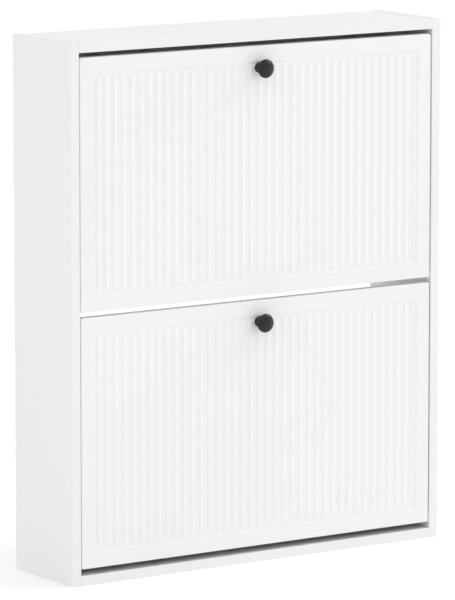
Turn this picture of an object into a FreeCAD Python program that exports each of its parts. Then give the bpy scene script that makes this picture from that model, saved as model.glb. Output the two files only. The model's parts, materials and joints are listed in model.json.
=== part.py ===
import FreeCAD, Part
import math
import os

# A slim free-standing shoe cabinet with two tip-out flaps, one above the other.
# Millimetres. X runs along the width, +Y to the back, +Z up.
# The origin is the centre of the underside, on the floor.

# ---- carcass ----
WIDTH = 800.0
DEPTH = 190.0
HEIGHT = 965.0
BOARD = 18.0
TOP_RECESS = 1.0          # the top panel lies this far below the ends of the side panels
EDGE_ROUND = 0.8          # rounding of the visible carcass edges
RAIL_HEIGHT = 100.0
BOTTOM_RAIL_HEIGHT = 60.0

# ---- doors ----
DOOR_HEIGHT = 449.0
DOOR_SIDE_GAP = 2.0
DOOR_RECESS = 1.0         # door faces behind the carcass's front edges
DOOR_BOTTOM_GAP = 11.5    # above the bottom panel
DOOR_MIDDLE_GAP = 9.7     # between the two doors
DOOR_TOP_CORNER_ROUND = 5.0
DOOR_LOW_CORNER_ROUND = 3.0
DOOR_FRONT_ROUND = 1.8
DOOR_BACK_ROUND = 1.0

# ---- fluted field of a door ----
FIELD_MARGIN = 27.5       # plain frame round the field
GROOVE_WIDTH = 9.0        # cove that borders the field
GROOVE_DEPTH = 2.0        # deeper than the flutes that end in it
GROOVE_BEND = 5.5         # bend of the cove's centre line at the field's corners
FLUTE_COUNT = 38
FLUTE_DEPTH = 1.8
FLUTE_LAND = 0.4          # flat crest left between two flutes

# ---- pivots ----
PIVOT_INSET = 9.0         # behind the door's front face
PIVOT_RISE = 8.0          # above the door's lower edge
PIN_RADIUS = 4.0
PIN_IN_DOOR = 22.0
PIN_IN_SIDE = 12.0
PIN_RUNNING_CLEARANCE = 0.05
BUSH_RADIUS = 6.0
BUSH_LENGTH = 13.0
BUSH_FLANGE_RADIUS = 8.0
BUSH_FLANGE = 1.0

# ---- trays ----
TRAY_BOARD = 9.0
TRAY_REACH = 158.0        # rear edge of a cheek, behind the pivot
CHEEK_RADIUS = 385.0      # curved top edge of a cheek, round the pivot
CHEEK_CORNER_ROUND = 14.0  # lower rear corner
CHEEK_TOP_ROUND = 10.0    # upper rear corner
TRAY_BASE_RISE = 4.0      # underside of the tray's base above the pivot
REAR_WALL_INSET = 4.0     # rear wall in front of the cheeks' rear edges
REAR_WALL_TOP = 346.0     # above the pivot
DIVIDER_FRONT_TOP = 335.0
DIVIDER_REAR_TOP = 300.0
SCREW_INSET = 30.0        # end screws from the edges of the base and from the wall's top
LOWEST_WALL_SCREW = 45.0  # above the pivot
BASE_SCREW_SHARE = 0.55   # place of the base's rear screws, as a share of the way to a cheek
DIVIDER_WALL_SCREWS = (0.4, 0.9)   # shares of the divider's rear height
DIVIDER_BASE_SCREWS = (0.3, 0.8)   # shares of the base's depth
BRACKET_RISES = (50.0, 190.0, 350.0)   # brackets on a cheek, above the pivot

# ---- stops ----
OPENING_ANGLE = 38.0      # how far a flap tips out
PEG_RADIUS = 4.0
PEG_ORBIT = 120.0         # distance of a limit peg from the pivot
PEG_BEHIND = 20.0         # peg centre behind the pivot
PEG_CLEARANCE = 0.5       # all round the peg in its slot
PEG_LENGTH = 14.5
PEG_HEAD_RADIUS = 7.0
PEG_HEAD = 2.2
PEG_IN_SIDE = 10.0
PEG_SHANK_RADIUS = 3.0
STOP_WIDTH = 14.0
STOP_DEPTH = 18.0
STOP_HEIGHT = 30.0
STOP_BELOW_DOOR_TOP = 12.0
PAD_RADIUS = 5.0
PAD_THICKNESS = 2.0
PAD_CLEARANCE = 0.3

# ---- knobs ----
KNOB_BELOW_DOOR_TOP = 39.5
KNOB_FOOT_RADIUS = 9.5
KNOB_FOOT = 3.0
KNOB_NECK_RADIUS = 6.5
KNOB_HEAD_RADIUS = 17.0
KNOB_HEAD_START = 13.0    # where the head's underside begins, in front of the door
KNOB_RIM = 19.0           # where the head is widest
KNOB_PROJECTION = 27.0
KNOB_SCREW_RADIUS = 2.0
KNOB_SCREW_DEPTH = 10.0

# ---- fittings ----
DOWEL_RADIUS = 4.0
DOWEL_LENGTH = 30.0
DOWEL_IN_SIDE = 11.0
CAM_RADIUS = 7.5
CAM_DEPTH = 12.5
CAM_SETBACK = 24.0        # cam centre from the board's end
CAM_BOLT_RADIUS = 3.0
CAM_BOLT_IN_SIDE = 11.0
CAM_BORE_RADIUS = 4.0
FITTING_SPREAD = 58.0     # dowels in front of and behind the board's middle
CAM_SPREAD = 34.0
WALL_HOLE_RADIUS = 3.0
WALL_HOLE_SPACING = 600.0

SCREW_RADIUS = 1.75
SCREW_HEAD_RADIUS = 3.5
SCREW_HEAD = 2.0
SCREW_LENGTH = 28.0
SHORT_SCREW_LENGTH = 9.0
SCREW_CROSS = 0.9
SCREW_CROSS_DEPTH = 1.1
BRACKET_LEG = 22.0
BRACKET_WIDTH = 16.0
BRACKET_SHEET = 2.0

# ---- derived places ----
FRONT = -DEPTH / 2
BACK = DEPTH / 2
SIDE_INNER = WIDTH / 2 - BOARD
TOP_UNDERSIDE = HEIGHT - TOP_RECESS - BOARD
DOOR_FRONT = FRONT + DOOR_RECESS
DOOR_BACK = DOOR_FRONT + BOARD
DOOR_HALF_WIDTH = SIDE_INNER - DOOR_SIDE_GAP
LOWER_DOOR_BOTTOM = BOARD + DOOR_BOTTOM_GAP
UPPER_DOOR_BOTTOM = LOWER_DOOR_BOTTOM + DOOR_HEIGHT + DOOR_MIDDLE_GAP
PIVOT_Y = DOOR_FRONT + PIVOT_INSET
TOP_RAIL_BOTTOM = TOP_UNDERSIDE - RAIL_HEIGHT
WALL_HOLE_Z = TOP_UNDERSIDE - RAIL_HEIGHT / 2
CHEEK_OUTER = DOOR_HALF_WIDTH
CHEEK_INNER = CHEEK_OUTER - TRAY_BOARD
REAR_WALL_FACE = TRAY_REACH - REAR_WALL_INSET - TRAY_BOARD
BASE_TOP = TRAY_BASE_RISE + TRAY_BOARD
DOOR_BACK_FROM_PIVOT = DOOR_BACK - PIVOT_Y

AXIS_X = FreeCAD.Vector(1, 0, 0)
AXIS_Y = FreeCAD.Vector(0, 1, 0)
AXIS_Z = FreeCAD.Vector(0, 0, 1)
SIDES = (("left", -1.0), ("right", 1.0))
PAST = 1.0                # cutters run this far past the face they open


def box(x, y, z):
    """A block between two x, two y and two z values, given as pairs in any order."""
    size = [abs(pair[1] - pair[0]) for pair in (x, y, z)]
    corner = FreeCAD.Vector(min(x), min(y), min(z))
    return Part.makeBox(size[0], size[1], size[2], corner)


def rod(start, axis, length, radius):
    """A cylinder from a start point along an axis; a negative length runs backwards."""
    direction = axis if length > 0 else -axis
    return Part.makeCylinder(radius, abs(length), FreeCAD.Vector(*start), direction)


def runs_along(edge, axis):
    """True where a straight edge is parallel to an axis."""
    if not isinstance(edge.Curve, Part.Line):
        return False
    return abs(edge.Curve.Direction.dot(axis)) > 0.999


def round_edges(shape, radius, wanted):
    """Fillet the edges that a test picks."""
    return shape.makeFillet(radius, [edge for edge in shape.Edges if wanted(edge)])


def cut_all(shape, cutters):
    """Take a list of cutters away from one shape."""
    if not cutters:
        return shape
    return shape.cut(Part.makeCompound(cutters))


def group(shapes):
    """Separate solids that share one file."""
    return Part.makeCompound(shapes)


def save(shape, node):
    shape.exportStep("parts/" + node + ".step")


# ---------------------------------------------------------------- fasteners

def wood_screw(head_point, axis, length):
    """A pan-head screw: the head's underside sits at head_point, the shank runs along axis."""
    point = FreeCAD.Vector(*head_point)
    head = Part.makeCylinder(SCREW_HEAD_RADIUS, SCREW_HEAD, point - axis * SCREW_HEAD, axis)
    head = head.makeFillet(SCREW_HEAD / 3, [head.Edges[0] if near_plane(head.Edges[0], point, axis)
                                            else head.Edges[2]])
    tip = SCREW_RADIUS * 2
    shank = Part.makeCylinder(SCREW_RADIUS, length - tip, point, axis)
    cone = Part.makeCone(SCREW_RADIUS, SCREW_RADIUS / 4, tip, point + axis * (length - tip), axis)
    screw = head.fuse(shank).fuse(cone)
    return cut_all(screw, cross_recess(point - axis * SCREW_HEAD, axis))


def near_plane(edge, point, axis):
    """True where an edge lies on the outer side of a screw head."""
    return (edge.CenterOfMass - point).dot(axis) < -SCREW_HEAD / 2


def cross_recess(outer_point, axis):
    """Two crossed slots in a screw head."""
    arm = SCREW_HEAD_RADIUS * 0.6
    across = AXIS_Z if abs(axis.dot(AXIS_Z)) < 0.5 else AXIS_Y
    other = axis.cross(across)
    slots = []
    for long_way, short_way in ((across, other), (other, across)):
        corners = []
        for along, aside in ((-arm, -1), (arm, -1), (arm, 1), (-arm, 1)):
            corners.append(outer_point + long_way * along + short_way * (aside * SCREW_CROSS / 2))
        corners.append(corners[0])
        outline = Part.Face(Part.makePolygon(corners))
        slots.append(outline.extrude(axis * SCREW_CROSS_DEPTH))
    return slots


def pilot(head_point, axis, length):
    """The hole that a screw's shank fills."""
    return Part.makeCylinder(SCREW_RADIUS, length, FreeCAD.Vector(*head_point), axis)


# ---------------------------------------------------------------- carcass fittings

def end_fittings(z_middle, y_middle, dowel_offsets, cam_offsets, offset_axis):
    """Places of dowels and cams along both ends of a board that stands between the sides."""
    places = []
    for _, side in SIDES:
        for kind, offsets in (("dowel", dowel_offsets), ("cam", cam_offsets)):
            for offset in offsets:
                if offset_axis == "y":
                    places.append((kind, side, y_middle + offset, z_middle))
                else:
                    places.append((kind, side, y_middle, z_middle + offset))
    return places


def dowel_at(side, y, z):
    start = side * (SIDE_INNER + DOWEL_IN_SIDE)
    return rod((start, y, z), AXIS_X, -side * DOWEL_LENGTH, DOWEL_RADIUS)


def cam_bolt_at(side, y, z):
    start = side * (SIDE_INNER + CAM_BOLT_IN_SIDE)
    length = CAM_BOLT_IN_SIDE + CAM_SETBACK
    return rod((start, y, z), AXIS_X, -side * length, CAM_BOLT_RADIUS)


def cam_bore_at(side, y, z):
    return rod((side * (SIDE_INNER + PAST), y, z), AXIS_X, -side * (CAM_SETBACK + PAST), CAM_BORE_RADIUS)


def cam_pocket_at(side, y, z, mouth, axis):
    """The round pocket of a cam, from its mouth on the board's face into the board."""
    x = side * (SIDE_INNER - CAM_SETBACK)
    if axis == "z":
        return rod((x, y, mouth), AXIS_Z, math.copysign(CAM_DEPTH, z - mouth), CAM_RADIUS)
    return rod((x, mouth, z), AXIS_Y, math.copysign(CAM_DEPTH, y - mouth), CAM_RADIUS)


def cam_nut_at(side, y, z, mouth, axis):
    """The cam itself: a drum with a passage for its bolt and a cross slot at its mouth."""
    drum = cam_pocket_at(side, y, z, mouth, axis)
    reach = CAM_SETBACK + CAM_BOLT_RADIUS
    passage = rod((side * SIDE_INNER, y, z), AXIS_X, -side * reach, CAM_BORE_RADIUS)
    x = side * (SIDE_INNER - CAM_SETBACK)
    slots = []
    for wide, narrow in ((CAM_RADIUS * 0.55, SCREW_CROSS), (SCREW_CROSS, CAM_RADIUS * 0.55)):
        if axis == "z":
            inner = mouth + math.copysign(SCREW_HEAD, z - mouth)
            slots.append(box((x - wide, x + wide), (y - narrow, y + narrow), (mouth, inner)))
        else:
            inner = mouth + math.copysign(SCREW_HEAD, y - mouth)
            slots.append(box((x - wide, x + wide), (mouth, inner), (z - narrow, z + narrow)))
    return cut_all(drum, [passage] + slots)


TOP_Z = TOP_UNDERSIDE + BOARD / 2
BOTTOM_Z = BOARD / 2
RAIL_Y = BACK - BOARD / 2
TOP_RAIL_Z = TOP_UNDERSIDE - RAIL_HEIGHT / 2
BOTTOM_RAIL_Z = BOARD + BOTTOM_RAIL_HEIGHT / 2
RAIL_SPREAD = 25.0
BOTTOM_RAIL_SPREAD = 15.0

# board: places of its fittings, face that the cams open on, and the direction of the cams
BOARD_FITTINGS = {
    "top_panel": (end_fittings(TOP_Z, 0.0, (-FITTING_SPREAD, FITTING_SPREAD),
                               (-CAM_SPREAD, CAM_SPREAD), "y"), TOP_UNDERSIDE, "z"),
    "bottom_panel": (end_fittings(BOTTOM_Z, 0.0, (-FITTING_SPREAD, FITTING_SPREAD),
                                  (-CAM_SPREAD, CAM_SPREAD), "y"), BOARD, "z"),
    "top_back_rail": (end_fittings(TOP_RAIL_Z, RAIL_Y, (RAIL_SPREAD,),
                                   (-RAIL_SPREAD,), "z"), BACK, "y"),
    "bottom_back_rail": (end_fittings(BOTTOM_RAIL_Z, RAIL_Y, (BOTTOM_RAIL_SPREAD,),
                                      (-BOTTOM_RAIL_SPREAD,), "z"), BACK, "y"),
}


def board_cutters(name):
    """Holes for the fittings of one board between the sides."""
    places, mouth, axis = BOARD_FITTINGS[name]
    cutters = []
    for kind, side, y, z in places:
        if kind == "dowel":
            cutters.append(dowel_at(side, y, z))
        else:
            cutters.append(cam_bore_at(side, y, z))
            cutters.append(cam_pocket_at(side, y, z, mouth, axis))
    return cutters


def carcass_fittings():
    """All dowels, cam bolts and cam nuts of the carcass."""
    dowels, bolts, nuts = [], [], []
    for places, mouth, axis in BOARD_FITTINGS.values():
        for kind, side, y, z in places:
            if kind == "dowel":
                dowels.append(dowel_at(side, y, z))
            else:
                bolts.append(cam_bolt_at(side, y, z))
                nuts.append(cam_nut_at(side, y, z, mouth, axis))
    return dowels, bolts, nuts


# ---------------------------------------------------------------- pivots and stops

def door_bottoms():
    return (("upper", UPPER_DOOR_BOTTOM), ("lower", LOWER_DOOR_BOTTOM))


def pivot_z(door_bottom):
    return door_bottom + PIVOT_RISE


def bush(side, door_bottom):
    """A flanged sleeve in the side panel that the pivot pin turns in."""
    z = pivot_z(door_bottom)
    sleeve = rod((side * SIDE_INNER, PIVOT_Y, z), AXIS_X, side * BUSH_LENGTH, BUSH_RADIUS)
    flange = rod((side * SIDE_INNER, PIVOT_Y, z), AXIS_X, -side * BUSH_FLANGE, BUSH_FLANGE_RADIUS)
    hole_start = side * (SIDE_INNER - BUSH_FLANGE - PAST)
    hole = rod((hole_start, PIVOT_Y, z), AXIS_X, side * (BUSH_FLANGE + PAST + PIN_IN_SIDE + PAST / 2),
               PIN_RADIUS + PIN_RUNNING_CLEARANCE)
    return sleeve.fuse(flange).cut(hole)


def pivot_pin(side, door_bottom):
    start = side * (DOOR_HALF_WIDTH - PIN_IN_DOOR)
    length = side * (PIN_IN_DOOR + DOOR_SIDE_GAP + PIN_IN_SIDE)
    return rod((start, PIVOT_Y, pivot_z(door_bottom)), AXIS_X, length, PIN_RADIUS)


def peg_centre(door_bottom):
    rise = math.sqrt(PEG_ORBIT ** 2 - PEG_BEHIND ** 2)
    return PIVOT_Y + PEG_BEHIND, pivot_z(door_bottom) + rise


def limit_peg(side, door_bottom):
    """A headed stud in the side panel that runs in the cheek's slot and stops the flap at its end."""
    y, z = peg_centre(door_bottom)
    body = rod((side * SIDE_INNER, y, z), AXIS_X, -side * PEG_LENGTH, PEG_RADIUS)
    head_start = side * (SIDE_INNER - PEG_LENGTH + PEG_HEAD)
    head = rod((head_start, y, z), AXIS_X, -side * PEG_HEAD, PEG_HEAD_RADIUS)
    shank = rod((side * SIDE_INNER, y, z), AXIS_X, side * PEG_IN_SIDE, PEG_SHANK_RADIUS)
    return body.fuse(head).fuse(shank)


def stop_block_parts(side, door_bottom):
    """The closing stop: a block on the side panel, its pad towards the door, and its screws."""
    top = door_bottom + DOOR_HEIGHT - STOP_BELOW_DOOR_TOP
    pad_face = DOOR_BACK + PAD_CLEARANCE
    block_front = pad_face + PAD_THICKNESS / 2
    x_inner = side * (SIDE_INNER - STOP_WIDTH)
    z_middle = top - STOP_HEIGHT / 2
    block = box((side * SIDE_INNER, x_inner), (block_front, block_front + STOP_DEPTH),
                (top - STOP_HEIGHT, top))
    block = round_edges(block, EDGE_ROUND, lambda edge: abs(edge.CenterOfMass.x - x_inner) < 0.01)
    pad = rod((side * (SIDE_INNER - STOP_WIDTH / 2), pad_face, z_middle), AXIS_Y, PAD_THICKNESS, PAD_RADIUS)
    screws, holes = [], []
    y_screw = block_front + STOP_DEPTH / 2
    for rise in (-STOP_HEIGHT / 4, STOP_HEIGHT / 4):
        head_point = (x_inner, y_screw, z_middle + rise)
        screws.append(wood_screw(head_point, AXIS_X * side, SCREW_LENGTH - 4.0))
        holes.append(pilot(head_point, AXIS_X * side, SCREW_LENGTH - 4.0))
    return cut_all(block, [pad] + holes), pad, screws, holes


# ---------------------------------------------------------------- carcass boards

def side_panel(side):
    """A full-height side board with the holes for everything that is fixed in it."""
    outer = side * WIDTH / 2
    panel = box((side * SIDE_INNER, outer), (FRONT, BACK), (0.0, HEIGHT))
    panel = round_edges(panel, EDGE_ROUND, lambda edge: (
        (runs_along(edge, AXIS_Z) and edge.CenterOfMass.y < 0)
        or (edge.CenterOfMass.z > HEIGHT - 0.01 and not runs_along(edge, AXIS_X))
        or (edge.CenterOfMass.z > HEIGHT - 0.01 and edge.CenterOfMass.y < 0)))
    cutters = []
    for places, _, _ in BOARD_FITTINGS.values():
        for kind, where, y, z in places:
            if where == side:
                cutters.append(dowel_at(side, y, z) if kind == "dowel" else cam_bolt_at(side, y, z))
    for _, door_bottom in door_bottoms():
        z = pivot_z(door_bottom)
        cutters.append(rod((side * SIDE_INNER, PIVOT_Y, z), AXIS_X, side * BUSH_LENGTH, BUSH_RADIUS))
        peg_y, peg_z = peg_centre(door_bottom)
        cutters.append(rod((side * SIDE_INNER, peg_y, peg_z), AXIS_X, side * PEG_IN_SIDE, PEG_SHANK_RADIUS))
        cutters.extend(stop_block_parts(side, door_bottom)[3])
    return cut_all(panel, cutters)


def cross_board(name, y, z):
    """A board that stands between the two side panels."""
    board = box((-SIDE_INNER, SIDE_INNER), y, z)
    board = round_edges(board, EDGE_ROUND / 2, lambda edge: (
        runs_along(edge, AXIS_X) and abs(edge.CenterOfMass.y - min(y)) < 0.01))
    return cut_all(board, board_cutters(name))


def top_back_rail():
    rail = cross_board("top_back_rail", (BACK - BOARD, BACK), (TOP_RAIL_BOTTOM, TOP_UNDERSIDE))
    holes = []
    for x in (-WALL_HOLE_SPACING / 2, WALL_HOLE_SPACING / 2):
        holes.append(rod((x, BACK - BOARD - PAST, WALL_HOLE_Z), AXIS_Y, BOARD + 2 * PAST, WALL_HOLE_RADIUS))
    return cut_all(rail, holes)


# ---------------------------------------------------------------- doors

def cove_profile(width, depth):
    """Radius of a cove and how far its centre lies in front of the face."""
    radius = (width * width / 4 + depth * depth) / (2 * depth)
    return radius, radius - depth


def cove_face(centre, across):
    """The cove's cross-section as a face, at a point on the front plane."""
    radius, stand_off = cove_profile(GROOVE_WIDTH, GROOVE_DEPTH)
    half = math.sqrt(radius ** 2 - (stand_off - PAST) ** 2)
    outer = centre - AXIS_Y * PAST
    left = outer - across * half
    right = outer + across * half
    deepest = centre + AXIS_Y * GROOVE_DEPTH
    arc = Part.Arc(left, deepest, right).toShape()
    chord = Part.makeLine(right, left)
    return Part.Face(Part.Wire([arc, chord]))


def border_groove(x_half, z_low, z_high):
    """Cutters of the cove that runs round the field: four runs and four bends."""
    cutters = []
    x_bend = x_half - GROOVE_BEND
    z_bend_low = z_low + GROOVE_BEND
    z_bend_high = z_high - GROOVE_BEND
    for x in (-x_half, x_half):
        face = cove_face(FreeCAD.Vector(x, DOOR_FRONT, z_bend_low), AXIS_X)
        cutters.append(face.extrude(AXIS_Z * (z_bend_high - z_bend_low)))
    for z in (z_low, z_high):
        face = cove_face(FreeCAD.Vector(-x_bend, DOOR_FRONT, z), AXIS_Z)
        cutters.append(face.extrude(AXIS_X * (2 * x_bend)))
    for x_sign in (-1.0, 1.0):
        for z_bend, z_sign in ((z_bend_low, -1.0), (z_bend_high, 1.0)):
            face = cove_face(FreeCAD.Vector(x_sign * x_half, DOOR_FRONT, z_bend), AXIS_X)
            centre = FreeCAD.Vector(x_sign * x_bend, DOOR_FRONT, z_bend)
            turn = -90.0 if x_sign * z_sign > 0 else 90.0
            cutters.append(face.revolve(centre, AXIS_Y, turn))
    return cutters


def flutes(x_half, z_low, z_high):
    """Cutters of the upright flutes between the two long runs of the border cove."""
    inner_half = x_half - GROOVE_WIDTH / 2
    pitch = 2 * inner_half / FLUTE_COUNT
    radius, stand_off = cove_profile(pitch - FLUTE_LAND, FLUTE_DEPTH)
    cutters = []
    for index in range(FLUTE_COUNT):
        x = -inner_half + (index + 0.5) * pitch
        cutters.append(rod((x, DOOR_FRONT - stand_off, z_low), AXIS_Z, z_high - z_low, radius))
    return cutters


def door(door_bottom):
    """A door board with its rounded edges, fluted field, pin holes and screw holes."""
    top = door_bottom + DOOR_HEIGHT
    panel = box((-DOOR_HALF_WIDTH, DOOR_HALF_WIDTH), (DOOR_FRONT, DOOR_BACK), (door_bottom, top))
    middle = door_bottom + DOOR_HEIGHT / 2
    panel = round_edges(panel, DOOR_TOP_CORNER_ROUND, lambda edge: (
        runs_along(edge, AXIS_Y) and edge.CenterOfMass.z > middle))
    panel = round_edges(panel, DOOR_LOW_CORNER_ROUND, lambda edge: (
        runs_along(edge, AXIS_Y) and edge.CenterOfMass.z < middle))
    panel = round_edges(panel, DOOR_FRONT_ROUND, lambda edge: abs(edge.CenterOfMass.y - DOOR_FRONT) < 0.01)
    panel = round_edges(panel, DOOR_BACK_ROUND, lambda edge: abs(edge.CenterOfMass.y - DOOR_BACK) < 0.01)
    inset = FIELD_MARGIN + GROOVE_WIDTH / 2
    x_half = DOOR_HALF_WIDTH - inset
    z_low = door_bottom + inset
    z_high = top - inset
    for cutter in border_groove(x_half, z_low, z_high):
        panel = panel.cut(cutter)
    panel = cut_all(panel, flutes(x_half, z_low, z_high))
    cutters = [pivot_pin(side, door_bottom) for _, side in SIDES]
    cutters.append(knob_screw_hole(top - KNOB_BELOW_DOOR_TOP))
    cutters.extend(knob_seat(top - KNOB_BELOW_DOOR_TOP))
    cutters.extend(bracket_fittings(door_bottom)[2])
    return cut_all(panel, cutters)


# ---------------------------------------------------------------- knobs

def knob_seat(z):
    """A shallow flat spot that the knob's foot stands in, across the flutes."""
    return [rod((0.0, DOOR_FRONT - PAST, z), AXIS_Y, PAST + GROOVE_DEPTH, KNOB_FOOT_RADIUS)]


def knob(z):
    """A turned knob: foot, slim neck and a domed mushroom head."""
    foot_y = DOOR_FRONT + GROOVE_DEPTH
    points = {
        "axis_back": FreeCAD.Vector(0, foot_y, z),
        "foot_back": FreeCAD.Vector(KNOB_FOOT_RADIUS, foot_y, z),
        "foot_front": FreeCAD.Vector(KNOB_FOOT_RADIUS, DOOR_FRONT - KNOB_FOOT, z),
        "neck_mid": FreeCAD.Vector(KNOB_NECK_RADIUS, DOOR_FRONT - KNOB_FOOT - 4.0, z),
        "neck_front": FreeCAD.Vector(KNOB_NECK_RADIUS + 1.5, DOOR_FRONT - KNOB_HEAD_START, z),
        "under_head": FreeCAD.Vector(KNOB_HEAD_RADIUS * 0.82, DOOR_FRONT - KNOB_HEAD_START - 2.0, z),
        "rim": FreeCAD.Vector(KNOB_HEAD_RADIUS, DOOR_FRONT - KNOB_RIM, z),
        "dome": FreeCAD.Vector(KNOB_HEAD_RADIUS * 0.68, DOOR_FRONT - KNOB_PROJECTION + 2.2, z),
        "axis_front": FreeCAD.Vector(0, DOOR_FRONT - KNOB_PROJECTION, z),
    }
    curve = Part.BSplineCurve()
    curve.interpolate([points[name] for name in ("foot_front", "neck_mid", "neck_front", "under_head",
                                                 "rim", "dome", "axis_front")])
    edges = [
        Part.makeLine(points["axis_back"], points["foot_back"]),
        Part.makeLine(points["foot_back"], points["foot_front"]),
        curve.toShape(),
        Part.makeLine(points["axis_front"], points["axis_back"]),
    ]
    profile = Part.Face(Part.Wire(edges))
    body = profile.revolve(points["axis_back"], AXIS_Y, 360.0)
    thread = rod((0.0, foot_y, z), AXIS_Y, -KNOB_SCREW_DEPTH, KNOB_SCREW_RADIUS)
    return body.cut(thread)


def knob_screw_hole(z):
    return rod((0.0, DOOR_FRONT - PAST, z), AXIS_Y, BOARD + 2 * PAST, KNOB_SCREW_RADIUS)


def knob_screw(z):
    """The machine screw that holds the knob, with its head on the door's back."""
    end = DOOR_FRONT + GROOVE_DEPTH - KNOB_SCREW_DEPTH
    shank = rod((0.0, end, z), AXIS_Y, DOOR_BACK - end, KNOB_SCREW_RADIUS)
    head = rod((0.0, DOOR_BACK, z), AXIS_Y, SCREW_HEAD, SCREW_HEAD_RADIUS + 0.5)
    outer = FreeCAD.Vector(0.0, DOOR_BACK + SCREW_HEAD, z)
    return cut_all(shank.fuse(head), cross_recess(outer, -AXIS_Y))


# ---------------------------------------------------------------- trays

def upright_board(outline, x_from, x_to):
    """A board across X, cut to an outline of straight edges and arcs."""
    face = Part.Face(Part.Wire(outline))
    face.translate(AXIS_X * min(x_from, x_to))
    return face.extrude(AXIS_X * abs(x_to - x_from))


def from_pivot(door_bottom, radius, degrees):
    """A point in the plane x = 0 at a distance from the pivot and an angle up from straight back."""
    angle = math.radians(degrees)
    behind = radius * math.cos(angle)
    above = radius * math.sin(angle)
    return FreeCAD.Vector(0, PIVOT_Y + behind, pivot_z(door_bottom) + above)


def arc_about_pivot(door_bottom, radius, start_angle, end_angle):
    angles = (start_angle, (start_angle + end_angle) / 2, end_angle)
    return Part.Arc(*[from_pivot(door_bottom, radius, angle) for angle in angles]).toShape()


def limit_slot(side, door_bottom):
    """The curved slot that a cheek needs for its limit peg, as a cutter."""
    half = PEG_RADIUS + PEG_CLEARANCE
    extra = math.degrees(PEG_CLEARANCE / PEG_ORBIT)
    start = math.degrees(math.acos(PEG_BEHIND / PEG_ORBIT)) + extra
    end = start - OPENING_ANGLE - 2 * extra
    beyond = math.degrees(half / PEG_ORBIT)

    def end_cap(angle, tip_angle, first, last):
        points = [from_pivot(door_bottom, first, angle), from_pivot(door_bottom, PEG_ORBIT, tip_angle),
                  from_pivot(door_bottom, last, angle)]
        return Part.Arc(*points).toShape()

    outline = [
        arc_about_pivot(door_bottom, PEG_ORBIT + half, start, end),
        end_cap(end, end - beyond, PEG_ORBIT + half, PEG_ORBIT - half),
        arc_about_pivot(door_bottom, PEG_ORBIT - half, end, start),
        end_cap(start, start + beyond, PEG_ORBIT - half, PEG_ORBIT + half),
    ]
    return upright_board(outline, side * (CHEEK_INNER - PAST), side * (CHEEK_OUTER + PAST))


def cheek(side, door_bottom):
    """A tray's end board: its top is an arc round the pivot, and it has the limit peg's slot."""
    def at(behind, above):
        return FreeCAD.Vector(0, PIVOT_Y + behind, pivot_z(door_bottom) + above)

    front = DOOR_BACK_FROM_PIVOT
    front_angle = math.degrees(math.acos(front / CHEEK_RADIUS))
    rear_angle = math.degrees(math.acos(TRAY_REACH / CHEEK_RADIUS))
    rear_top = from_pivot(door_bottom, CHEEK_RADIUS, rear_angle)
    corner = CHEEK_CORNER_ROUND
    bend = corner * (1 - math.cos(math.radians(45)))
    outline = [
        Part.makeLine(at(front, 0), at(TRAY_REACH - corner, 0)),
        Part.Arc(at(TRAY_REACH - corner, 0), at(TRAY_REACH - bend, bend), at(TRAY_REACH, corner)).toShape(),
        Part.makeLine(at(TRAY_REACH, corner), rear_top),
        arc_about_pivot(door_bottom, CHEEK_RADIUS, rear_angle, front_angle),
        Part.makeLine(from_pivot(door_bottom, CHEEK_RADIUS, front_angle), at(front, 0)),
    ]
    board = upright_board(outline, side * CHEEK_INNER, side * CHEEK_OUTER)
    corner_middle = rear_top + AXIS_X * (side * (CHEEK_INNER + CHEEK_OUTER) / 2)
    board = round_edges(board, CHEEK_TOP_ROUND, lambda edge: (
        runs_along(edge, AXIS_X) and (edge.CenterOfMass - corner_middle).Length < 0.01))
    holes = tray_end_screws(side, door_bottom)[1] + bracket_fittings(door_bottom)[2]
    return cut_all(board, holes + [limit_slot(side, door_bottom)])


def tray_base(door_bottom):
    base_z = pivot_z(door_bottom) + TRAY_BASE_RISE
    board = box((-CHEEK_INNER, CHEEK_INNER), (DOOR_BACK, PIVOT_Y + REAR_WALL_FACE),
                (base_z, base_z + TRAY_BOARD))
    return cut_all(board, tray_holes(door_bottom) + bracket_fittings(door_bottom)[2])


def tray_rear_wall(door_bottom):
    z = pivot_z(door_bottom)
    y = PIVOT_Y + REAR_WALL_FACE
    board = box((-CHEEK_INNER, CHEEK_INNER), (y, y + TRAY_BOARD), (z + TRAY_BASE_RISE, z + REAR_WALL_TOP))
    board = round_edges(board, EDGE_ROUND, lambda edge: (
        runs_along(edge, AXIS_X) and edge.CenterOfMass.z > z + REAR_WALL_TOP - 0.01))
    return cut_all(board, tray_holes(door_bottom))


def tray_divider(door_bottom):
    """A board in the tray's middle that stiffens it and keeps two bays apart."""
    z = pivot_z(door_bottom)
    y_rear = PIVOT_Y + REAR_WALL_FACE
    corners = [(DOOR_BACK, z + BASE_TOP), (y_rear, z + BASE_TOP),
               (y_rear, z + DIVIDER_REAR_TOP), (DOOR_BACK, z + DIVIDER_FRONT_TOP)]
    points = [FreeCAD.Vector(0, y, height) for y, height in corners + corners[:1]]
    face = Part.Face(Part.makePolygon(points))
    face.translate(AXIS_X * (-TRAY_BOARD / 2))
    return cut_all(face.extrude(AXIS_X * TRAY_BOARD), tray_holes(door_bottom))


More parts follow.
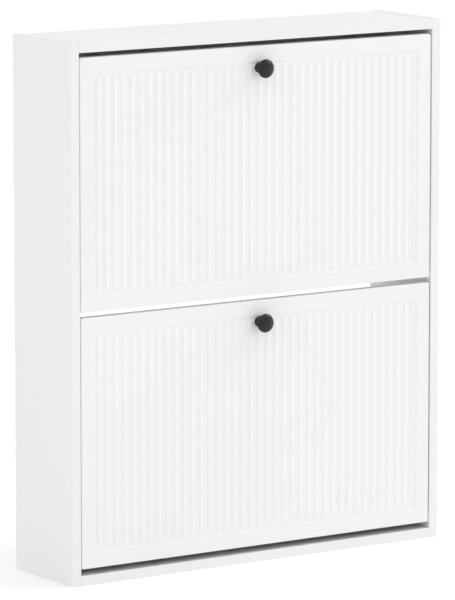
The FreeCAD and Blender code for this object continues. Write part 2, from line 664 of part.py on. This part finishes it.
def tray_end_screws(side, door_bottom):
    """Screws through one cheek into the ends of the base and the rear wall."""
    z = pivot_z(door_bottom)
    base_z = z + TRAY_BASE_RISE + TRAY_BOARD / 2
    wall_y = PIVOT_Y + REAR_WALL_FACE + TRAY_BOARD / 2
    places = [(DOOR_BACK + SCREW_INSET, base_z), (PIVOT_Y + REAR_WALL_FACE - SCREW_INSET, base_z)]
    for rise in (LOWEST_WALL_SCREW, REAR_WALL_TOP / 2, REAR_WALL_TOP - SCREW_INSET):
        places.append((wall_y, z + rise))
    screws, holes = [], []
    for y, height in places:
        head_point = (side * CHEEK_OUTER, y, height)
        screws.append(countersunk_screw(head_point, AXIS_X * -side))
        holes.append(countersunk_hole(head_point, AXIS_X * -side))
    return screws, holes


def countersunk_hole(head_point, axis):
    """The room that a countersunk screw fills, flush with the board's face."""
    point = FreeCAD.Vector(*head_point)
    head = Part.makeCone(SCREW_HEAD_RADIUS, SCREW_RADIUS, SCREW_HEAD, point, axis)
    shank = Part.makeCylinder(SCREW_RADIUS, SCREW_LENGTH - SCREW_HEAD, point + axis * SCREW_HEAD, axis)
    return head.fuse(shank)


def countersunk_screw(head_point, axis):
    return cut_all(countersunk_hole(head_point, axis), cross_recess(FreeCAD.Vector(*head_point), axis))


def tray_middle_places(door_bottom):
    """Screws that join base, rear wall and divider: from behind and from below."""
    z = pivot_z(door_bottom)
    rear = PIVOT_Y + REAR_WALL_FACE + TRAY_BOARD
    base_underside = z + TRAY_BASE_RISE
    base_middle = base_underside + TRAY_BOARD / 2
    base_x = CHEEK_INNER * BASE_SCREW_SHARE
    places = [((x, rear, base_middle), -AXIS_Y) for x in (-base_x, base_x)]
    for share in DIVIDER_WALL_SCREWS:
        places.append(((0.0, rear, z + DIVIDER_REAR_TOP * share), -AXIS_Y))
    for share in DIVIDER_BASE_SCREWS:
        y = DOOR_BACK + (PIVOT_Y + REAR_WALL_FACE - DOOR_BACK) * share
        places.append(((0.0, y, base_underside), AXIS_Z))
    return places


def tray_holes(door_bottom):
    holes = [countersunk_hole(point, axis) for point, axis in tray_middle_places(door_bottom)]
    for _, side in SIDES:
        holes.extend(tray_end_screws(side, door_bottom)[1])
    return holes


def tray_screws(door_bottom):
    screws = [countersunk_screw(point, axis) for point, axis in tray_middle_places(door_bottom)]
    for _, side in SIDES:
        screws.extend(tray_end_screws(side, door_bottom)[0])
    return screws


# ---------------------------------------------------------------- angle brackets behind the door

def angle_bracket(corner, leg_a, leg_b, width_axis):
    """A bent strip: two legs from a corner point, one along each of two directions."""
    start = corner - width_axis * (BRACKET_WIDTH / 2)
    outline = [start, start + leg_a * BRACKET_LEG,
               start + leg_a * BRACKET_LEG + leg_b * BRACKET_SHEET,
               start + leg_a * BRACKET_SHEET + leg_b * BRACKET_SHEET,
               start + leg_a * BRACKET_SHEET + leg_b * BRACKET_LEG,
               start + leg_b * BRACKET_LEG, start]
    return Part.Face(Part.makePolygon(outline)).extrude(width_axis * BRACKET_WIDTH)


def bracket_fittings(door_bottom):
    """Angle brackets that hold the cheeks and the base to the door, their screws and the holes."""
    z = pivot_z(door_bottom)
    places = []
    for _, side in SIDES:
        inward = AXIS_X * -side
        for height in BRACKET_RISES:
            corner = FreeCAD.Vector(side * CHEEK_INNER, DOOR_BACK, z + height)
            places.append((corner, inward, AXIS_Y, AXIS_Z))
    for x in (-CHEEK_INNER / 2, CHEEK_INNER / 2):
        corner = FreeCAD.Vector(x, DOOR_BACK, z + BASE_TOP)
        places.append((corner, AXIS_Z, AXIS_Y, AXIS_X))
    brackets, screws, holes = [], [], []
    for corner, leg_on_door, leg_on_board, width_axis in places:
        out = BRACKET_LEG * 0.62
        door_hole = corner + leg_on_door * out + AXIS_Y * BRACKET_SHEET
        board_hole = corner + leg_on_board * out + leg_on_door * BRACKET_SHEET
        bracket = angle_bracket(corner, leg_on_door, leg_on_board, width_axis)
        pair = ((door_hole, -AXIS_Y), (board_hole, leg_on_door * -1))
        own_holes = [pilot(point, axis, SHORT_SCREW_LENGTH) for point, axis in pair]
        brackets.append(cut_all(bracket, own_holes))
        screws.extend(wood_screw(point, axis, SHORT_SCREW_LENGTH) for point, axis in pair)
        holes.extend(own_holes)
    return brackets, screws, holes


# ---------------------------------------------------------------- everything

def build_carcass():
    for name, side in SIDES:
        save(side_panel(side), name + "_side_panel")
    save(cross_board("top_panel", (FRONT, BACK), (TOP_UNDERSIDE, TOP_UNDERSIDE + BOARD)), "top_panel")
    save(cross_board("bottom_panel", (FRONT, BACK), (0.0, BOARD)), "bottom_panel")
    save(top_back_rail(), "top_back_rail")
    save(cross_board("bottom_back_rail", (BACK - BOARD, BACK), (BOARD, BOARD + BOTTOM_RAIL_HEIGHT)),
         "bottom_back_rail")
    dowels, bolts, nuts = carcass_fittings()
    save(group(dowels), "wood_dowels")
    save(group(bolts), "cam_bolts")
    save(group(nuts), "cam_nuts")
    pairs = [(side, bottom) for _, side in SIDES for _, bottom in door_bottoms()]
    save(group([bush(side, bottom) for side, bottom in pairs]), "pivot_bushes")
    save(group([limit_peg(side, bottom) for side, bottom in pairs]), "limit_pegs")
    stops = [stop_block_parts(side, bottom) for side, bottom in pairs]
    save(group([stop[0] for stop in stops]), "stop_blocks")
    save(group([stop[1] for stop in stops]), "buffer_pads")
    save(group([screw for stop in stops for screw in stop[2]]), "stop_block_screws")


def build_flap(name, door_bottom):
    knob_z = door_bottom + DOOR_HEIGHT - KNOB_BELOW_DOOR_TOP
    save(door(door_bottom), name + "_door")
    save(knob(knob_z), name + "_knob")
    save(knob_screw(knob_z), name + "_knob_screw")
    save(group([pivot_pin(side, door_bottom) for _, side in SIDES]), name + "_pivot_pins")
    for side_name, side in SIDES:
        save(cheek(side, door_bottom), name + "_" + side_name + "_cheek")
    save(tray_base(door_bottom), name + "_tray_base")
    save(tray_rear_wall(door_bottom), name + "_tray_rear_wall")
    save(tray_divider(door_bottom), name + "_tray_divider")
    brackets, bracket_screws, _ = bracket_fittings(door_bottom)
    save(group(brackets), name + "_angle_brackets")
    save(group(bracket_screws), name + "_bracket_screws")
    save(group(tray_screws(door_bottom)), name + "_tray_screws")


os.makedirs("parts", exist_ok=True)
build_carcass()
for flap_name, flap_bottom in door_bottoms():
    build_flap(flap_name, flap_bottom)
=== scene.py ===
import json
import math

import bpy
import bmesh
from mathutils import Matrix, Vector


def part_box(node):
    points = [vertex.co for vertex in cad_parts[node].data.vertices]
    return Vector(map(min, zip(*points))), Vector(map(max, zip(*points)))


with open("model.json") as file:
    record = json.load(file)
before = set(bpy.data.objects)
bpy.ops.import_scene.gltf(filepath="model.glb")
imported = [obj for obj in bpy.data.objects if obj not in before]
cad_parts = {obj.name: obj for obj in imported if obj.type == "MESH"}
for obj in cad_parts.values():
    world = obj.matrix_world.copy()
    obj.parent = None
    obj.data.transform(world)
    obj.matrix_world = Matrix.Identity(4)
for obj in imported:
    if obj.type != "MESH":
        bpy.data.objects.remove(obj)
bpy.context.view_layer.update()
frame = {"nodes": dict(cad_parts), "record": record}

# ---------------------------------------------------------------- sizes and places, in metres
MM = 0.001
CABINET_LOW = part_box("left_side_panel")[0]
CABINET_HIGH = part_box("right_side_panel")[1]
CENTRE = (CABINET_LOW + CABINET_HIGH) / 2

# the camera: a long lens from the front left, a little above
AZIMUTH = math.radians(-34.2)
ELEVATION = math.radians(8.87)
DISTANCE = 8.734
AIM = Vector((-0.0056, 0.0, 0.467))
LENS = 289.3
SENSOR = 36.0
FLOOR_HALF = 30.0

# the even light all round, and the sheet that is lit a little from below
SKY_AT_HORIZON = 1.03
SKY_OVERHEAD = 0.84
FLOOR_GLOW = 0.075
FLOOR_TONE = (0.985, 0.985, 0.985)

# colours of the materials
WHITE_FILM = (0.812, 0.812, 0.807)
WHITE_LACQUER = (0.83, 0.83, 0.83)
KNOB_DARK = (0.008, 0.008, 0.009)
KNOB_LIGHT = (0.013, 0.013, 0.014)
# painted highlight: a lighter tone laid along the knob's rim edges
KNOB_EDGE_HIGHLIGHT = (0.05, 0.05, 0.05)
ZINC_PLATE = (0.68, 0.68, 0.67)
ZINC_CAST = (0.5, 0.5, 0.52)
BEECH_DARK = (0.48, 0.3, 0.16)
BEECH_LIGHT = (0.72, 0.52, 0.33)
BEECH_FLECK = (0.38, 0.22, 0.12)
WHITE_PLASTIC = (0.8, 0.8, 0.79)
GREY_RUBBER = (0.16, 0.16, 0.16)


# ---------------------------------------------------------------- node helpers

class Shader:
    """A new material with short ways to add nodes and to join them."""

    def __init__(self, name):
        self.material = bpy.data.materials.new(name)
        self.material.use_nodes = True
        self.tree = self.material.node_tree
        self.surface = self.tree.nodes["Principled BSDF"]
        self.position = self.add("ShaderNodeTexCoord").outputs["Object"]

    def add(self, kind, **settings):
        node = self.tree.nodes.new(kind)
        for key, value in settings.items():
            setattr(node, key, value)
        return node

    def join(self, source, target):
        self.tree.links.new(source, target)

    def set(self, **values):
        """Constants on the surface shader, by socket name with underscores for spaces."""
        for key, value in values.items():
            self.surface.inputs[key.replace("_", " ")].default_value = value

    def stretched(self, scale):
        """Object coordinates scaled by three factors."""
        node = self.add("ShaderNodeVectorMath", operation="MULTIPLY")
        self.join(self.position, node.inputs[0])
        node.inputs[1].default_value = scale
        return node.outputs[0]

    def noise(self, scale, detail=3.0, roughness=0.55, vector=None):
        node = self.add("ShaderNodeTexNoise")
        self.join(vector or self.position, node.inputs["Vector"])
        node.inputs["Scale"].default_value = scale
        node.inputs["Detail"].default_value = detail
        node.inputs["Roughness"].default_value = roughness
        return node.outputs["Fac"]

    def ramp(self, factor, low, high, from_value=0.3, to_value=0.7):
        """Two colours, mixed as a factor goes from one value to another."""
        node = self.add("ShaderNodeValToRGB")
        self.join(factor, node.inputs["Fac"])
        node.color_ramp.elements[0].position = from_value
        node.color_ramp.elements[0].color = (*low, 1.0)
        node.color_ramp.elements[1].position = to_value
        node.color_ramp.elements[1].color = (*high, 1.0)
        return node.outputs["Color"]

    def span(self, factor, low, high, from_value=0.3, to_value=0.7):
        """A number that goes from low to high as a factor goes from one value to another."""
        node = self.add("ShaderNodeMapRange")
        self.join(factor, node.inputs["Value"])
        node.inputs["From Min"].default_value = from_value
        node.inputs["From Max"].default_value = to_value
        node.inputs["To Min"].default_value = low
        node.inputs["To Max"].default_value = high
        return node.outputs["Result"]

    def mix(self, factor, first, second):
        node = self.add("ShaderNodeMix", data_type="RGBA")
        self.join(factor, node.inputs["Factor"])
        for socket, value in ((node.inputs["A"], first), (node.inputs["B"], second)):
            if isinstance(value, tuple):
                socket.default_value = (*value, 1.0)
            else:
                self.join(value, socket)
        return node.outputs["Result"]

    def edges(self, radius):
        """About 1 on a sharp or tightly rounded edge and 0 on the open face."""
        bevel = self.add("ShaderNodeBevel", samples=4)
        bevel.inputs["Radius"].default_value = radius
        geometry = self.add("ShaderNodeNewGeometry")
        dot = self.add("ShaderNodeVectorMath", operation="DOT_PRODUCT")
        self.join(bevel.outputs["Normal"], dot.inputs[0])
        self.join(geometry.outputs["Normal"], dot.inputs[1])
        return self.span(dot.outputs["Value"], 1.0, 0.0, 0.93, 0.995)

    def colour(self, source):
        self.join(source, self.surface.inputs["Base Color"])

    def gloss(self, source):
        self.join(source, self.surface.inputs["Roughness"])

    def relief(self, layers):
        """Stacked bumps: pairs of a height source and its depth in metres."""
        previous = None
        for height, depth in layers:
            bump = self.add("ShaderNodeBump")
            bump.inputs["Strength"].default_value = 1.0
            bump.inputs["Distance"].default_value = depth
            self.join(height, bump.inputs["Height"])
            if previous is not None:
                self.join(previous, bump.inputs["Normal"])
            previous = bump.outputs["Normal"]
        self.join(previous, self.surface.inputs["Normal"])


# ---------------------------------------------------------------- materials

def white_paint(name, tone, rough_low, rough_high):
    """Sprayed, nearly matt paint: faint orange peel, a soft cloud of tone, a painted highlight
    along the edges.
    """
    s = Shader(name)
    cloud = s.noise(3.0, 4.0)
    dull = tuple(channel * 0.975 for channel in tone)
    body = s.ramp(cloud, dull, tone, to_value=0.65)
    # painted highlight: the edges are painted a little lighter than the open face
    edge_highlight_tone = tuple(min(1.0, channel * 1.02) for channel in tone)
    s.colour(s.mix(s.edges(1.2 * MM), body, edge_highlight_tone))
    s.gloss(s.span(s.noise(160.0, 2.0), rough_low, rough_high))
    s.relief([(s.noise(420.0, 2.0, 0.4), 0.02 * MM), (s.noise(60.0, 1.0), 0.03 * MM)])
    s.set(Specular_IOR_Level=0.2)
    return s.material


def melamine(name, tone):
    """Melamine-faced board: a fine pearl texture pressed into the film."""
    s = Shader(name)
    dull = tuple(channel * 0.97 for channel in tone)
    s.colour(s.ramp(s.noise(2.2, 5.0), dull, tone))
    s.gloss(s.span(s.noise(900.0, 2.0), 0.38, 0.52))
    pearl = s.add("ShaderNodeTexVoronoi", feature="SMOOTH_F1")
    s.join(s.position, pearl.inputs["Vector"])
    pearl.inputs["Scale"].default_value = 700.0
    s.relief([(pearl.outputs["Distance"], 0.03 * MM), (s.noise(1500.0, 1.0), 0.01 * MM)])
    s.set(Specular_IOR_Level=0.4)
    return s.material


def powder_coat(name):
    """Black powder coat with a low sheen on a turned knob, with a painted highlight along the
    rim.
    """
    s = Shader(name)
    cloud = s.ramp(s.noise(90.0, 4.0), KNOB_DARK, KNOB_LIGHT)
    # painted highlight: the rim edges are painted lighter than the black body
    s.colour(s.mix(s.edges(1.0 * MM), cloud, KNOB_EDGE_HIGHLIGHT))
    s.gloss(s.span(s.noise(1400.0, 2.0), 0.28, 0.36))
    s.relief([(s.noise(1800.0, 2.0), 0.05 * MM)])
    s.set(Specular_IOR_Level=0.34)
    return s.material


def plated_steel(name, tone, rough):
    """Zinc-plated steel: streaked plating over metal."""
    s = Shader(name)
    s.set(Metallic=1.0)
    dark = tuple(channel * 0.8 for channel in tone)
    streaks = s.noise(40.0, 6.0, 0.6, s.stretched((1.0, 12.0, 12.0)))
    s.colour(s.ramp(streaks, dark, tone))
    s.gloss(s.span(s.noise(500.0, 3.0), rough, rough + 0.15))
    s.relief([(streaks, 0.01 * MM)])
    return s.material


def beech(name):
    """Bare beech with fine grain along the dowel."""
    s = Shader(name)
    grain = s.noise(60.0, 8.0, 0.65, s.stretched((0.6, 14.0, 14.0)))
    flecks = s.noise(900.0, 2.0, 0.5, s.stretched((0.2, 1.0, 1.0)))
    wood = s.ramp(grain, BEECH_DARK, BEECH_LIGHT)
    s.colour(s.mix(s.span(flecks, 0.0, 0.5, 0.6, 0.75), wood, BEECH_FLECK))
    s.gloss(s.span(grain, 0.55, 0.7))
    s.relief([(grain, 0.08 * MM)])
    return s.material


def moulded_plastic(name, tone, rough):
    """Moulded plastic with a fine spark-eroded texture."""
    s = Shader(name)
    dark = tuple(channel * 0.92 for channel in tone)
    s.colour(s.ramp(s.noise(50.0, 3.0), dark, tone))
    s.gloss(s.span(s.noise(800.0, 2.0), rough, rough + 0.12))
    s.relief([(s.noise(2200.0, 2.0), 0.03 * MM)])
    return s.material


def make_materials():
    return {
        "white_board": melamine("white_board_film", WHITE_FILM),
        "white_lacquer": white_paint("white_lacquer_satin", WHITE_LACQUER,
                                     rough_low=0.5, rough_high=0.58),
        "black_knob": powder_coat("black_powder_coat"),
        "zinc_steel": plated_steel("zinc_plated_steel", ZINC_PLATE, rough=0.28),
        "zinc_cast": plated_steel("die_cast_zinc", ZINC_CAST, rough=0.42),
        "dowel_wood": beech("bare_beech"),
        "white_plastic": moulded_plastic("white_moulded_plastic", WHITE_PLASTIC, rough=0.4),
        "grey_rubber": moulded_plastic("grey_soft_rubber", GREY_RUBBER, rough=0.7),
    }


def finish_nodes(materials):
    """Give every node that comes with the frame the material of its slot."""
    slots = {entry["node"]: entry["material_slot"] for entry in frame["record"]["subparts"]}
    for name, obj in frame["nodes"].items():
        obj.data.materials.clear()
        obj.data.materials.append(materials[slots[name]])


# ---------------------------------------------------------------- stage

def sheet_material(name, tone, rough):
    """A plain pale sheet over a light table."""
    s = Shader(name)
    s.set(Emission_Color=(1.0, 1.0, 1.0, 1.0), Emission_Strength=FLOOR_GLOW)
    s.colour(s.ramp(s.noise(1.5, 3.0), tuple(t * 0.995 for t in tone), tone))
    s.gloss(s.span(s.noise(30.0, 2.0), rough, min(1.0, rough + 0.1)))
    return s.material


def add_floor():
    """A large plain pale sheet."""
    mesh = bpy.data.meshes.new("floor")
    build = bmesh.new()
    corners = [build.verts.new((x * FLOOR_HALF, y * FLOOR_HALF, 0.0)) for x, y in
               ((-1, -1), (1, -1), (1, 1), (-1, 1))]
    build.faces.new(corners)
    build.to_mesh(mesh)
    build.free()
    floor = bpy.data.objects.new("floor", mesh)
    floor.data.materials.append(sheet_material("pale_floor", FLOOR_TONE, rough=0.9))
    bpy.context.scene.collection.objects.link(floor)


def lamp(name, azimuth, elevation, distance, size, share, tint=(1.0, 1.0, 1.0)):
    """A square soft light, aimed at the middle of the cabinet.

    Azimuth is in degrees to the right of straight in front, elevation in degrees
    above the middle. Its share is how much light it gives a face turned to it,
    against what that face gets from the even light all round.
    """
    turn, rise = math.radians(azimuth), math.radians(elevation)
    level = math.cos(rise)
    direction = Vector((math.sin(turn) * level, -math.cos(turn) * level, math.sin(rise)))
    data = bpy.data.lights.new(name, "AREA")
    data.shape = "SQUARE"
    data.size = size
    data.energy = share * math.pi ** 2 * distance ** 2
    data.color = tint
    light = bpy.data.objects.new(name, data)
    light.location = CENTRE + direction * distance
    light.rotation_euler = direction.to_track_quat("Z", "Y").to_euler()
    bpy.context.scene.collection.objects.link(light)


def add_world():
    """Even white light all round, a little weaker overhead."""
    world = bpy.data.worlds.new("studio")
    world.use_nodes = True
    tree = world.node_tree
    place = tree.nodes.new("ShaderNodeTexCoord")
    split = tree.nodes.new("ShaderNodeSeparateXYZ")
    fall = tree.nodes.new("ShaderNodeMapRange")
    fall.inputs["To Min"].default_value = SKY_AT_HORIZON
    fall.inputs["To Max"].default_value = SKY_OVERHEAD
    background = tree.nodes["Background"]
    background.inputs["Color"].default_value = (1.0, 1.0, 1.0, 1.0)
    tree.links.new(place.outputs["Generated"], split.inputs["Vector"])
    tree.links.new(split.outputs["Z"], fall.inputs["Value"])
    tree.links.new(fall.outputs["Result"], background.inputs["Strength"])
    bpy.context.scene.world = world


def add_lights():
    add_world()
    lamp("softbox_side", azimuth=76.0, elevation=40.0, distance=9.0, size=2.6, share=0.22)
    lamp("softbox_high", azimuth=42.0, elevation=56.0, distance=9.0, size=1.3, share=0.035)
    lamp("softbox_front", azimuth=-34.0, elevation=30.0, distance=10.0, size=6.0, share=0.015)
    lamp("fill_left", azimuth=-100.0, elevation=6.0, distance=9.0, size=6.0, share=0.04,
         tint=(1.0, 0.975, 0.93))
    bpy.context.scene.view_settings.view_transform = "Standard"


def add_camera():
    data = bpy.data.cameras.new("camera")
    data.lens = LENS
    data.sensor_width = SENSOR
    data.clip_end = 100.0
    camera = bpy.data.objects.new("camera", data)
    level = math.cos(ELEVATION)
    offset = Vector((math.sin(AZIMUTH) * level, -math.cos(AZIMUTH) * level, math.sin(ELEVATION)))
    camera.location = AIM + offset * DISTANCE
    camera.rotation_euler = (-offset).to_track_quat("-Z", "Y").to_euler()
    bpy.context.scene.collection.objects.link(camera)
    bpy.context.scene.camera = camera


finish_nodes(make_materials())
add_floor()
add_lights()
add_camera()
